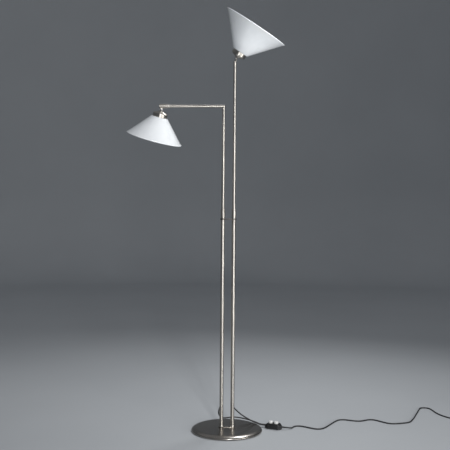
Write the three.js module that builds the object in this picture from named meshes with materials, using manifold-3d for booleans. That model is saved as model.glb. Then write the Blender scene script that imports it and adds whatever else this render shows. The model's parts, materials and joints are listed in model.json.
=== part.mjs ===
// Two-lamp pharmacy floor lamp: a weighted round base, two telescopic poles side by side, an upward
// bowl on the right pole and a reading lamp on the left pole's arm, with a double foot switch.
// Millimetres, +Z up, +X to the reader's right, -Y towards the viewer.
// The origin is the centre of the base's underside, on the floor.
import * as THREE from 'three';
import { mergeVertices } from 'three/addons/utils/BufferGeometryUtils.js';
import Module from 'manifold-3d';

const wasm = await Module();
wasm.setup();

// ---------------------------------------------------------------- driving dimensions
const GAP = 0.3;                    // clearance between neighbouring pieces
const DEG = Math.PI / 180;

const BASE_RADIUS = 148;
const BASE_TOP = 16.4;              // height of the base's flat top
const BASE_FLAT_RADIUS = 118;       // where the flat top starts to round over
const BASE_WIDEST = 5;              // height of the widest point of the rounded edge
const BASE_SKIN = 1.2;
const PAD_RADIUS = 139;
const PAD_HEIGHT = 2.7;

const POLE_X = 23;                  // each pole stands this far from the middle
const OUTER_TUBE_R = 8;
const OUTER_BORE_R = 7;
const INNER_TUBE_R = 6.5;
const INNER_BORE_R = 5.5;
const OUTER_TUBE_BOTTOM = 18.6;
const OUTER_TUBE_TOP = 905;
const INNER_TUBE_BOTTOM = 600;
const BRIDGE_BOTTOM = 884.3;
const BRIDGE_HEIGHT = 4.5;
const SLEEVE_BOTTOM = BRIDGE_BOTTOM + BRIDGE_HEIGHT + GAP;
const SLEEVE_LIP = 923;             // underside of the lip that closes the sleeve
const SLEEVE_TOP = 928;

const ARM_Z = 1358.5;               // axis of the left pole's horizontal arm
const ARM_END_X = -285;
const SWIVEL_START_X = -251.3;
const SWIVEL_END_X = -290;
const SWIVEL_R = 8.5;
const READING_HINGE_X = -284;
const READING_HINGE_DROP = 14.5;    // hinge pin below the arm's axis
const READING_ROLL = 11.4;          // degrees the reading head is rolled about the arm
const READING_TILT = 15;            // degrees its neck leans towards the pole

const RIGHT_TUBE_TOP = 1543;
const UPLIGHT_HINGE_Z = 1558.8;
const UPLIGHT_HINGE_OFFSET = 4;     // hinge pin ahead of the pole's axis
const UPLIGHT_AZIMUTH = -20.6;      // degrees the right pole is turned
const UPLIGHT_TILT = 34.8;          // degrees the bowl leans from upright

const EYE_R = 5;                    // hinge eyes
const EYE_OUTSIDE = 5.5;
const PIN_R = 1.9;
const PIN_HOLE_R = 2.4;

const NECK = 32;                    // from the hinge pin to the glass's flat neck
const NECK_R = 34.5;
const GLASS = 3;
const GLASS_HOLE_R = 14.5;
const UPLIGHT_SHADE = { height: 124, rimRadius: 141 };
const READING_SHADE = { height: 95, rimRadius: 119.5 };

const CORD_R = 2.75;
const SWITCH = { x: 198.5, y: 38, yaw: -24, length: 72, width: 34, seam: 11, top: 23 };
const BUTTON_R = 9;
const BUTTON_SPACING = 24;
const COIL = { x: 1105, y: 221, radius: 31, height: 14 };
const PLUG = { x: 1158, y: 190, thickness: 13.7, relief: 30, body: 38 };

const ROUND = 16;                   // facets of tubes and small turned parts
const WIDE_ROUND = 32;              // facets of the base and the shades

// Routes of the three cords, each from where it leaves a strain relief, as [x, y, z].
const RIGHT_LAMP_ROUTE = [
  [32.3, 24.1, 87.7], [40.5, 27.6, 78.6], [52, 31, 67.5], [67, 35.5, 55], [83, 41, 43.5],
  [97, 46.4, 34.4], [106, 50.2, 28.9], [114, 53.6, 24.1], [121.5, 56.6, 19.9], [129, 58.9, 16.3],
  [136.5, 59.7, 13.4], [143.9, 58.2, 11.5],
];
const LEFT_LAMP_ROUTE = [
  [-30.8, 24.2, 88.5], [-33.4, 27, 79.2], [-34.4, 29, 69.5], [-33, 31, 60], [-28.3, 33, 51.8],
  [-20.6, 35, 45.8], [-10, 37.4, 43.4], [8, 43, 44], [30, 51.5, 43.5], [56, 62, 38.5],
  [83, 71, 30.5], [104, 74.5, 24], [120, 74.2, 18.5], [132, 71.4, 14.4], [140, 68.2, 12.2],
  [147.2, 64.4, 11.3],
];
const MAINS_ROUTE = [
  [255.4, 21.8, 8.9], [265, 24.8, 6.9], [273.8, 32.4, 4.5], [280.5, 45, 3], [287, 57, 3],
  [297, 66, 3], [310, 68.5, 3], [325, 63, 3], [356, 39, 3], [373, 27, 3], [391.5, 25, 3],
  [408, 34, 3], [422, 52, 3], [482, 153, 3], [498, 170.5, 3], [518, 176, 3], [566, 157, 3],
  [585, 155, 3], [603, 161.5, 3], [621, 174, 3], [636, 180, 3], [651.5, 177.5, 3], [664, 167.5, 3],
  [690, 137, 3], [706, 122.5, 3], [725, 117, 3], [798, 140, 3], [828, 188, 3], [869, 282, 3],
  [905, 368, 3], [912.3, 384.2, 3], [922, 395, 3], [935, 399, 3], [948, 395, 3], [957.4, 384.6, 3],
  [961, 371, 3], [972, 284, 3], [1003, 221, 3], [1042, 200, 3], [1084.5, 190.7, 3],
];
const TAIL_ROUTE = [
  [1124, 190.2, 12.6], [1133, 190, 10.9], [1143, 190, 8.6], [1150, 190, 7.3], [1157.7, 190, 6.9],
];

// ---------------------------------------------------------------- materials
function standard(color, roughness, metalness) {
  return new THREE.MeshStandardMaterial({ color, roughness, metalness });
}

const nickel = () => standard(0xa7a198, 0.3, 1);
const steel = () => standard(0x8d8f92, 0.45, 1);
const iron = () => standard(0x3a3a3c, 0.7, 0.6);
const felt = () => standard(0x2c2c2e, 0.95, 0);
const nylon = () => standard(0xd8d4c8, 0.6, 0);
const opalGlass = () => standard(0xe9eef2, 0.22, 0);
const phenolic = () => standard(0xece6d8, 0.5, 0);
const blackPlastic = () => standard(0x0c0c0d, 0.38, 0);
const blackRubber = () => standard(0x101011, 0.6, 0);
const whitePlastic = () => standard(0xf2f2f0, 0.3, 0);
const brass = () => standard(0xb8944e, 0.35, 1);

// ---------------------------------------------------------------- shape helpers
// A closed mesh with shared vertices, no zero-area triangles, and its faces pointing out.
function closed(geometry) {
  geometry.deleteAttribute('normal');
  geometry.deleteAttribute('uv');
  const merged = mergeVertices(geometry, 1e-4);
  const at = merged.attributes.position;
  const kept = [];
  const index = merged.index.array;
  for (let i = 0; i < index.length; i += 3) {
    const [a, b, c] = [index[i], index[i + 1], index[i + 2]];
    if (a !== b && b !== c && c !== a) kept.push(a, b, c);
  }
  const corner = (k) => new THREE.Vector3().fromBufferAttribute(at, kept[k]);
  let volume = 0;
  for (let k = 0; k < kept.length; k += 3) volume += corner(k).dot(corner(k + 1).cross(corner(k + 2)));
  if (volume < 0) kept.reverse();
  merged.setIndex(kept);
  merged.computeVertexNormals();
  return merged;
}

function solid(geometry) {
  const mesh = closed(geometry);
  const vertProperties = Float32Array.from(mesh.attributes.position.array);
  const triVerts = Uint32Array.from(mesh.index.array);
  return new wasm.Manifold(new wasm.Mesh({ numProp: 3, vertProperties, triVerts }));
}

function surface(body) {
  const mesh = body.getMesh();
  const geometry = new THREE.BufferGeometry();
  geometry.setAttribute('position', new THREE.BufferAttribute(Float32Array.from(mesh.vertProperties), 3));
  geometry.setIndex([...mesh.triVerts]);
  geometry.computeVertexNormals();
  return geometry;
}

// A body turned about Z from [radius, height] points.
function turned(profile, sides = ROUND) {
  const points = profile.map(([r, z]) => new THREE.Vector2(r, z));
  return closed(new THREE.LatheGeometry(points, sides).rotateX(Math.PI / 2));
}

function rod(radius, bottom, top, sides = ROUND) {
  return turned([[0, bottom], [radius, bottom], [radius, top], [0, top]], sides);
}

function tube(outer, bore, bottom, top, sides = ROUND) {
  return turned([[bore, bottom], [outer, bottom], [outer, top], [bore, top], [bore, bottom]], sides);
}

const box = (x, y, z, at) => new THREE.BoxGeometry(x, y, z).translate(...at);
const alongX = (geometry) => geometry.rotateY(Math.PI / 2);
const alongY = (geometry) => geometry.rotateX(-Math.PI / 2);

// An upright prism of a plan outline.
function prism(shape, bottom, height) {
  const options = { depth: height, bevelEnabled: false, curveSegments: 6 };
  return new THREE.ExtrudeGeometry(shape, options).translate(0, 0, bottom);
}

function stadium(halfSpan, radius) {
  const shape = new THREE.Shape();
  shape.absarc(halfSpan, 0, radius, -Math.PI / 2, Math.PI / 2);
  shape.absarc(-halfSpan, 0, radius, Math.PI / 2, Math.PI * 1.5);
  return shape;
}

const polygon = (points) => new THREE.Shape(points.map(([x, y]) => new THREE.Vector2(x, y)));

function hexagon(acrossCorners) {
  const corners = Array.from({ length: 6 }, (_, k) => k * Math.PI / 3);
  return polygon(corners.map((a) => [Math.cos(a) * acrossCorners / 2, Math.sin(a) * acrossCorners / 2]));
}

function smoothPath(route) {
  return new THREE.CatmullRomCurve3(route.map((p) => new THREE.Vector3(...p)), false, 'centripetal');
}

function flex(route, steps) {
  const corners = Array.from({ length: 8 }, (_, k) => (k + 0.5) * Math.PI / 4);
  const section = polygon(corners.map((a) => [Math.cos(a) * CORD_R, Math.sin(a) * CORD_R]));
  const options = { steps, bevelEnabled: false, extrudePath: smoothPath(route) };
  return closed(new THREE.ExtrudeGeometry(section, options));
}

const { lerp } = THREE.MathUtils;

// A rubber strain relief along a route: its [half width, half height] shrinks from root to tip.
function taperedRelief(route, root, tip, steps = 5, sides = 10) {
  const path = smoothPath(route);
  const frames = path.computeFrenetFrames(steps, false);
  const spots = path.getSpacedPoints(steps);
  const positions = [];
  const index = [];
  spots.forEach((spot, i) => {
    const t = i / steps;
    const across = new THREE.Vector3(0, 0, 1).cross(frames.tangents[i]).normalize();
    const upward = frames.tangents[i].clone().cross(across);
    for (let k = 0; k < sides; k++) {
      const a = k * 2 * Math.PI / sides;
      const p = spot.clone().addScaledVector(across, Math.cos(a) * lerp(root[0], tip[0], t));
      p.addScaledVector(upward, Math.sin(a) * lerp(root[1], tip[1], t));
      positions.push(p.x, p.y, p.z);
      const next = (k + 1) % sides;
      if (i > 0) index.push((i - 1) * sides + k, (i - 1) * sides + next, i * sides + next);
      if (i > 0) index.push((i - 1) * sides + k, i * sides + next, i * sides + k);
    }
  });
  for (let k = 1; k < sides - 1; k++) {
    index.push(0, k + 1, k);
    index.push(steps * sides, steps * sides + k, steps * sides + k + 1);
  }
  const geometry = new THREE.BufferGeometry();
  geometry.setAttribute('position', new THREE.Float32BufferAttribute(positions, 3));
  geometry.setIndex(index);
  return closed(geometry);
}

const union = (...geometries) => surface(geometries.map(solid).reduce((a, b) => a.add(b)));

function cut(geometry, ...tools) {
  return surface(tools.map(solid).reduce((a, b) => a.subtract(b), solid(geometry)));
}

function add(parent, name, geometry, material) {
  const mesh = new THREE.Mesh(geometry, material);
  mesh.name = name;
  parent.add(mesh);
  return mesh;
}

function group(parent, position = [0, 0, 0], rotation = [0, 0, 0]) {
  const made = new THREE.Group();
  made.position.set(...position);
  made.rotation.set(...rotation);
  parent.add(made);
  return made;
}

const lamp = new THREE.Group();

// ---------------------------------------------------------------- base
const POLE_SPOTS = [[-POLE_X, 0, 0], [POLE_X, 0, 0]];
const STUD_R = 4.9;
const STUD_HOLE_R = 5.2;

const atPoles = (geometry) => POLE_SPOTS.map(([x, y, z]) => geometry.clone().translate(x, y, z));

// The rounded edge of the base's cover: a quarter ellipse, inset from the outside.
function edgeCurve(inset, count) {
  const wide = BASE_RADIUS - BASE_FLAT_RADIUS - inset;
  const tall = BASE_TOP - BASE_WIDEST - inset;
  return Array.from({ length: count + 1 }, (_, k) => {
    const a = Math.PI / 2 * (1 - k / count);
    return [BASE_FLAT_RADIUS + wide * Math.cos(a), BASE_WIDEST + tall * Math.sin(a)];
  });
}

function baseCover() {
  const R = BASE_RADIUS;
  const outside = [[0, BASE_TOP], ...edgeCurve(0, 5)];
  const hem = [[R - 1.6, 2.3], [R - 5, 1.2], [R - 8, 1.2], [R - 8, 2.4], [R - 5.3, 2.4], [R - 2.6, 3.2]];
  const inside = [...edgeCurve(BASE_SKIN, 4).reverse(), [0, BASE_TOP - BASE_SKIN]];
  const shell = turned([...outside, ...hem, ...inside], WIDE_ROUND);
  return cut(shell, ...atPoles(rod(STUD_HOLE_R, 0, 30)));
}

function baseWeight() {
  const bottom = PAD_HEIGHT + GAP;
  const profile = [[0, bottom], [139, bottom], [142, 6], [136, 10.5], [116, 14.7], [0, 14.7]];
  const pockets = atPoles(rod(12.5, 0, 9));
  return cut(turned(profile, WIDE_ROUND), ...pockets, ...atPoles(rod(STUD_HOLE_R, 0, 30)));
}

function footPlate() {
  return cut(prism(stadium(POLE_X, 12), BASE_TOP + GAP, 1.6), ...atPoles(rod(STUD_HOLE_R, 0, 30)));
}

// The hollow stud that clamps a pole down, with a wider plug inside the foot of the tube.
function baseStud() {
  const [bore, bottom, plugR, top] = [2.8, 3.3, 6.6, 34];
  const stem = [[bore, bottom], [STUD_R, bottom], [STUD_R, OUTER_TUBE_BOTTOM]];
  return turned([...stem, [plugR, OUTER_TUBE_BOTTOM], [plugR, top], [bore, top], [bore, bottom]]);
}

function flangeNut() {
  const hex = prism(hexagon(18), 3.3, 4.2);
  const flange = rod(10.8, 7.2, 8.7);
  return cut(union(hex, flange), rod(STUD_HOLE_R, 0, 30));
}

// The small flared collar around the foot of an outer tube.
function ferrule() {
  const [bore, bottom, top] = [OUTER_TUBE_R + GAP, OUTER_TUBE_BOTTOM, 25];
  const flare = [[11.5, bottom], [11.5, 19.8], [9.4, 22.5], [9.2, top]];
  return turned([[bore, bottom], ...flare, [bore, top], [bore, bottom]]);
}

function addBase() {
  add(lamp, 'base_pad', rod(PAD_RADIUS, 0, PAD_HEIGHT, WIDE_ROUND), felt());
  add(lamp, 'base_weight', baseWeight(), iron());
  add(lamp, 'base_cover', baseCover(), nickel());
  add(lamp, 'foot_plate', footPlate(), nickel());
  for (const [side, x] of [['left', -POLE_X], ['right', POLE_X]]) {
    const pole = group(lamp, [x, 0, 0]);
    add(pole, `${side}_base_stud`, baseStud(), steel());
    add(pole, `${side}_base_nut`, flangeNut(), steel());
    add(pole, `${side}_ferrule`, ferrule(), nickel());
  }
}

// ---------------------------------------------------------------- poles
const CORD_HOLE_Z = 100;            // the lamp cords leave through the backs of the outer tubes
const CORD_HOLE_R = 4.6;

function outerTube() {
  const hole = alongY(rod(CORD_HOLE_R, 4, 12)).translate(0, 0, CORD_HOLE_Z);
  return cut(tube(OUTER_TUBE_R, OUTER_BORE_R, OUTER_TUBE_BOTTOM, OUTER_TUBE_TOP), hole);
}

// The clamp sleeve over the top of an outer tube, closed by a lip around the inner tube.
function clampSleeve() {
  const [bottom, bore, wall, lip] = [SLEEVE_BOTTOM, OUTER_TUBE_R + GAP, 9.3, 10.3];
  const outside = [[bore, bottom], [wall, bottom], [wall, SLEEVE_LIP - 0.5], [lip, SLEEVE_LIP + 0.8]];
  const crown = [[lip, SLEEVE_TOP - 1], [9.4, SLEEVE_TOP], [6.9, SLEEVE_TOP], [6.9, SLEEVE_LIP]];
  return turned([...outside, ...crown, [bore, SLEEVE_LIP], [bore, bottom]]);
}

function bridgePlate() {
  const plate = prism(stadium(POLE_X, 11), BRIDGE_BOTTOM, BRIDGE_HEIGHT);
  return cut(plate, ...atPoles(rod(OUTER_TUBE_R + GAP, 800, 950)));
}

// The turned plug in an inner tube's foot, with a neck that spins in the guide bush.
function poleFoot() {
  const z = INNER_TUBE_BOTTOM;
  const outside = [[2.5, z - 14], [5, z - 14], [5, z - 11], [3.6, z - 11], [3.6, z - 2.5], [6.5, z - 2.5]];
  return turned([...outside, [6.5, z - GAP], [5.2, z - GAP], [5.2, z + 12], [2.5, z + 12], [2.5, z - 14]]);
}

function addPoleFrame() {
  for (const [side, x] of [['left', -POLE_X], ['right', POLE_X]]) {
    const pole = group(lamp, [x, 0, 0]);
    add(pole, `${side}_outer_tube`, outerTube(), nickel());
    add(pole, `${side}_clamp_sleeve`, clampSleeve(), nickel());
    const bush = tube(8, 6.8, OUTER_TUBE_TOP + GAP, SLEEVE_LIP - GAP);
    add(pole, `${side}_friction_bush`, bush, nylon());
    const guide = tube(6.65, 4, INNER_TUBE_BOTTOM - 10.6, INNER_TUBE_BOTTOM - 2.8);
    add(pole, `${side}_guide_bush`, guide, nylon());
    add(pole, `${side}_pole_foot`, poleFoot(), brass());
  }
  add(lamp, 'bridge_plate', bridgePlate(), nickel());
}

// ---------------------------------------------------------------- lamp heads
// A head hangs on its hinge pin at the origin, with the pin along Y and the mouth towards +Z.
const eye = (from, to) => alongY(rod(EYE_R, from, to));
const pinHole = () => alongY(rod(PIN_HOLE_R, -20, 20, 12));

function headKnuckle() {
  const middle = (GAP + EYE_OUTSIDE) / 2;
  const stem = box(7, EYE_OUTSIDE - GAP, 7, [0, middle, 3.5]);
  const boss = turned([[0, 5.9], [8.4, 5.9], [9, 6.5], [9, 7.6], [0, 7.6]]);
  return cut(union(eye(GAP, EYE_OUTSIDE), stem, boss, rod(2.9, 7, 11.4, 12)), pinHole());
}

function headCap() {
  const outside = [[3.2, 7.9], [9.5, 7.9], [28.6, 14.4], [30.4, 15.6], [31, 17.4], [31, NECK - GAP]];
  const inside = [[30, NECK - GAP], [30, 17.6], [29.7, 16.7], [28.3, 15.5], [9.3, 9], [3.2, 9]];
  return turned([...outside, ...inside, outside[0]], 24);
}

function lampholder() {
  const outside = [[0, 12], [11, 12], [13.4, 14.5], [13.4, 48]];
  return turned([...outside, [7.7, 48], [7.7, 22], [0, 22]]);
}

function shadeGlass({ height, rimRadius }) {
  const slope = Math.atan2(rimRadius - NECK_R, height);
  const thick = GLASS / Math.cos(slope);
  const rim = NECK + height;
  const onCone = (z, inset = 0) => [NECK_R - inset + (z - NECK) * Math.tan(slope), z];
  const neckHole = [GLASS_HOLE_R, NECK];
  const shoulder = [[NECK_R - 4, NECK], [NECK_R - 1.2, NECK + 0.9], onCone(NECK + 3)];
  const bead = [onCone(rim - 5), [rimRadius + 0.3, rim - 2.6], [rimRadius + 0.2, rim - 0.8]];
  const lip = [[rimRadius - 1.4, rim], [rimRadius - 3.6, rim - 0.4], onCone(rim - 4.6, thick)];
  const inside = [onCone(NECK + 7, thick), [NECK_R - 5.5, NECK + GLASS], [GLASS_HOLE_R, NECK + GLASS]];
  return turned([neckHole, ...shoulder, ...bead, ...lip, ...inside, neckHole], WIDE_ROUND);
}

function bulb() {
  const [centre, radius, neck] = [72, 22.5, 8.5];
  const start = -Math.acos(neck / radius);
  const ball = Array.from({ length: 8 }, (_, k) => {
    const a = start + (Math.PI / 2 - start) * k / 7;
    return [k === 7 ? 0 : radius * Math.cos(a), centre + radius * Math.sin(a)];
  });
  return turned([[0, 23], [4, 23], [7, 26], [7, 47.5], ...ball], 20);
}

function addHead(parent, side, shade) {
  add(parent, `${side}_head_knuckle`, headKnuckle(), nickel());
  add(parent, `${side}_head_cap`, headCap(), nickel());
  add(parent, `${side}_lampholder`, lampholder(), phenolic());
  add(parent, `${side}_shade_ring`, tube(20, 13.8, NECK + GLASS + GAP, NECK + GLASS + 4.3, 20), phenolic());
  add(parent, `${side}_glass_shade`, shadeGlass(shade), opalGlass());
  add(parent, `${side}_bulb`, bulb(), opalGlass());
}

// The screw and nut that pinch the two eyes together; they stay with the pole's eye.
function addHingePin(parent, side) {
  const head = turned([[0, -8.6], [3, -8.6], [4.2, -7.4], [4.2, -5.8], [0, -5.8]], 12);
  add(parent, `${side}_hinge_screw`, alongY(union(head, rod(PIN_R, -6, 8.6, 12))), steel());
  const nut = prism(hexagon(8.4), 5.8, 2.6);
  add(parent, `${side}_hinge_nut`, alongY(cut(nut, rod(PIN_R + GAP, 0, 20, 12))), steel());
}

// ---------------------------------------------------------------- left pole, arm and reading head
// Cuts a tube on the 45 degree mitre at the corner of pole and arm; sign picks the side removed.
function mitred(pipe, sign) {
  const half = 60;
  const block = new THREE.BoxGeometry(half * 2, half * 2, half * 2);
  block.translate(0, 0, sign * (half - 0.05)).rotateY(-Math.PI / 4).translate(0, 0, ARM_Z);
  return cut(pipe, block);
}

function swivelSleeve() {
  const length = SWIVEL_START_X - SWIVEL_END_X;
  const bore = INNER_TUBE_R + 0.35;
  const outside = [[bore, 0], [SWIVEL_R, 0], [SWIVEL_R, length - 2], [SWIVEL_R - 1, length]];
  const turnedBarrel = alongX(turned([...outside, [bore, length], [bore, 0]]));
  const barrel = turnedBarrel.translate(SWIVEL_END_X - READING_HINGE_X, 0, READING_HINGE_DROP);
  const middle = -(GAP + EYE_OUTSIDE) / 2;
  const stem = box(8, EYE_OUTSIDE - GAP, 8, [0, middle, 4]);
  const bored = alongX(rod(bore, -30, 60)).translate(0, 0, READING_HINGE_DROP);
  return cut(union(barrel, stem, eye(-EYE_OUTSIDE, -GAP)), bored, pinHole());
}

// The turned cap that closes the swivel sleeve's outer end.
function sleeveCap() {
  const outside = [[0, -3], [SWIVEL_R - 1.2, -3], [SWIVEL_R, -2], [SWIVEL_R, -GAP]];
  const cap = alongX(turned([...outside, [6.5, -GAP], [6.5, 3.4], [0, 3.4]]));
  return cap.translate(SWIVEL_END_X - READING_HINGE_X, 0, READING_HINGE_DROP);
}

function addReadingLamp() {
  const pole = group(lamp, [-POLE_X, 0, 0]);
  const upright = tube(INNER_TUBE_R, INNER_BORE_R, INNER_TUBE_BOTTOM, ARM_Z + 10);
  add(pole, 'left_inner_tube', mitred(upright, 1), nickel());
  const reach = alongX(tube(INNER_TUBE_R, INNER_BORE_R, ARM_END_X + POLE_X, 10)).translate(0, 0, ARM_Z);
  add(pole, 'left_arm_tube', mitred(reach, -1), nickel());

  const roll = group(lamp, [READING_HINGE_X, 0, ARM_Z], [READING_ROLL * DEG, 0, 0]);
  const hinge = group(roll, [0, 0, -READING_HINGE_DROP]);
  add(hinge, 'left_swivel_sleeve', swivelSleeve(), nickel());
  add(hinge, 'left_sleeve_cap', sleeveCap(), nickel());
  addHingePin(hinge, 'left');
  addHead(group(hinge, [0, 0, 0], [0, Math.PI + READING_TILT * DEG, 0]), 'left', READING_SHADE);
}

// ---------------------------------------------------------------- right pole and upward bowl
function poleTopKnuckle() {
  const z = RIGHT_TUBE_TOP - UPLIGHT_HINGE_Z;
  const spigot = [[0, z - 12], [5.2, z - 12], [5.2, z + GAP], [INNER_TUBE_R, z + GAP]];
  const dome = [[INNER_TUBE_R, z + 4.6], [5.3, z + 6.2], [0, z + 6.2]];
  const body = turned([...spigot, ...dome]).translate(-UPLIGHT_HINGE_OFFSET, 0, 0);
  const stem = box(7, EYE_OUTSIDE - GAP, 11, [-1, -(GAP + EYE_OUTSIDE) / 2, -5.5]);
  return cut(union(body, stem, eye(-EYE_OUTSIDE, -GAP)), pinHole());
}

function addUplight() {
  const pole = group(lamp, [POLE_X, 0, 0], [0, 0, UPLIGHT_AZIMUTH * DEG]);
  const upright = tube(INNER_TUBE_R, INNER_BORE_R, INNER_TUBE_BOTTOM, RIGHT_TUBE_TOP);
  add(pole, 'right_inner_tube', upright, nickel());
  const hinge = group(pole, [UPLIGHT_HINGE_OFFSET, 0, UPLIGHT_HINGE_Z]);
  add(hinge, 'right_pole_knuckle', poleTopKnuckle(), nickel());
  addHingePin(hinge, 'right');
  addHead(group(hinge, [0, 0, 0], [0, UPLIGHT_TILT * DEG, 0]), 'right', UPLIGHT_SHADE);
}

// ---------------------------------------------------------------- foot switch
// The shell's outside: a plan with clipped corners, crossed with a side view with sloping ends.
function switchBlock(inset, bottom, top) {
  const [x, y, slope, nip] = [SWITCH.length / 2 - inset, SWITCH.width / 2 - inset, 12, 9];
  const quarter = [[x, y - nip], [x - slope, y]];
  const turnedQuarter = quarter.map(([a, b]) => [-a, b]).reverse();
  const half = [...quarter, ...turnedQuarter];
  const plan = polygon([...half, ...half.map(([a, b]) => [-a, -b])]);
  const [shoulder, roof] = [SWITCH.seam + 3, SWITCH.top - inset];
  const crown = [[x, shoulder], [x - slope, roof], [-x + slope, roof], [-x, shoulder]];
  const sideView = prism(polygon([[-x, -1], [x, -1], ...crown]), -30, 60).rotateX(Math.PI / 2);
  return solid(prism(plan, bottom, top - bottom)).intersect(solid(sideView));
}

const BUTTON_SPOTS = [[-BUTTON_SPACING / 2, 0, 0], [BUTTON_SPACING / 2, 0, 0]];

function switchParts(parent) {
  const { length, seam, top } = SWITCH;
  const ends = [box(8, 17, 7.4, [-length / 2, 0, seam]), box(8, 9.6, 7.4, [length / 2, 0, seam])];
  const tray = switchBlock(0, 0, seam).subtract(switchBlock(2.2, 2.2, seam + 1));
  add(parent, 'switch_base', cut(surface(tray), ...ends), blackPlastic());
  const lid = switchBlock(0, seam + GAP, top).subtract(switchBlock(2.2, seam - 5, top - 2.2));
  const holes = BUTTON_SPOTS.map(([x, y]) => rod(BUTTON_R + 0.4, 0, 40, 20).translate(x, y, 0));
  add(parent, 'switch_cover', cut(surface(lid), ...ends, ...holes), blackPlastic());
  const stems = BUTTON_SPOTS.map(([x, y]) => rod(3.5, 10, 14, 12).translate(x, y, 0));
  add(parent, 'switch_mechanism', union(box(42, 18, 9, [0, 0, 7]), ...stems), phenolic());
}

function button() {
  const [bottom, top] = [17.6, 32];
  const skirt = [[0, bottom], [8.2, bottom], [8.2, bottom + 0.4], [BUTTON_R, bottom + 0.4]];
  const crown = [[BUTTON_R, top - 1.6], [BUTTON_R - 0.5, top - 0.6], [BUTTON_R - 1.8, top], [0, top + 0.3]];
  return turned([...skirt, ...crown], 20);
}

const IN_RELIEF = [[-35, 0, 11.2], [-44, 0, 11.2], [-57, 0, 11.2]];
const OUT_RELIEF = [[35, 0, 11.1], [42, 0.6, 10.9], [50, 3.2, 9.8], [58, 7.9, 9.1]];

function addSwitch() {
  const place = group(lamp, [SWITCH.x, SWITCH.y, 0], [0, 0, SWITCH.yaw * DEG]);
  switchParts(place);
  for (const [k, side] of [[0, 'left'], [1, 'right']]) {
    add(place, `${side}_lamp_button`, button().translate(...BUTTON_SPOTS[k]), whitePlastic());
  }
  add(place, 'switch_relief_in', taperedRelief(IN_RELIEF, [8, 3.5], [6.4, 3]), blackRubber());
  add(place, 'switch_relief_out', taperedRelief(OUT_RELIEF, [4.4, 3.5], [3.1, 3.1]), blackRubber());
}

// ---------------------------------------------------------------- cords
const RIGHT_RELIEF = [[23, 6, 100], [23, 13, 99.4], [26, 20, 95.5], [31.8, 23.8, 88.3]];
const LEFT_RELIEF = [[-23, 6, 100], [-23.3, 13, 99.7], [-26.4, 20, 97], [-30.4, 23.9, 89.3]];

function addCords() {
  add(lamp, 'right_cord_relief', taperedRelief(RIGHT_RELIEF, [4.2, 4.2], [3.1, 3.1]), blackRubber());
  add(lamp, 'left_cord_relief', taperedRelief(LEFT_RELIEF, [4.2, 4.2], [3.1, 3.1]), blackRubber());
  add(lamp, 'right_lamp_cord', flex(RIGHT_LAMP_ROUTE, 9), blackRubber());
  add(lamp, 'left_lamp_cord', flex(LEFT_LAMP_ROUTE, 14), blackRubber());
  add(lamp, 'mains_cord', flex(MAINS_ROUTE, 66), blackRubber());
  add(lamp, 'mains_tail', flex(TAIL_ROUTE, 3), blackRubber());
  const coil = tube(COIL.radius + CORD_R, COIL.radius - CORD_R, 0, COIL.height, 24);
  add(lamp, 'mains_coil', coil.translate(COIL.x, COIL.y, 0), blackRubber());
}

// ---------------------------------------------------------------- plug
const PIN_SPACING = 18.6;

function plugBody() {
  const { thickness, relief, body } = PLUG;
  const [bevel, grip] = [2, 17.65];
  const half = grip - bevel;
  const [back, front] = [relief + bevel, relief + body - bevel];
  const near = [[back, -5], [back + 13, -half], [front - 9, -half], [front, -10.5]];
  const far = near.map(([x, y]) => [x, -y]).reverse();
  const depth = thickness - 2 * bevel;
  const options = { depth, bevelThickness: bevel, bevelSize: bevel, bevelSegments: 1 };
  const shell = new THREE.ExtrudeGeometry(polygon([...near, ...far]), options).translate(0, 0, bevel);
  const route = [relief + 4, relief / 2, 0].map((x) => [x, 0, thickness / 2]);
  const boot = taperedRelief(route, [5, 5], [3.2, 3.2]);
  const socket = alongX(rod(2.3, 0, 20, 12)).translate(relief + body - 4, 0, thickness / 2);
  return cut(union(shell, boot), ...atPins(socket));
}

const atPins = (geometry) => [-1, 1].map((side) => geometry.clone().translate(0, side * PIN_SPACING / 2, 0));

function addPlug() {
  const place = group(lamp, [PLUG.x, PLUG.y, 0]);
  add(place, 'plug_body', plugBody(), blackPlastic());
  const pin = alongX(turned([[0, 0], [2, 0], [2, 21.6], [1.2, 22.6], [0, 22.6]], 12));
  const [near, far] = atPins(pin.translate(PLUG.relief + PLUG.body - 3.6, 0, PLUG.thickness / 2));
  add(place, 'plug_pin_near', near, brass());
  add(place, 'plug_pin_far', far, brass());
}

addBase();
addPoleFrame();
addReadingLamp();
addUplight();
addSwitch();
addCords();
addPlug();

export default lamp;
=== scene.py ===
"""Looks of the two-lamp pharmacy floor lamp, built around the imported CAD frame.

Metres and +Z up in the scene. Outlines are written in millimetres, and mm() turns them into metres.
"""

import json
import math

import bmesh
import bpy
import numpy as np
from mathutils import Matrix, Vector


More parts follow.
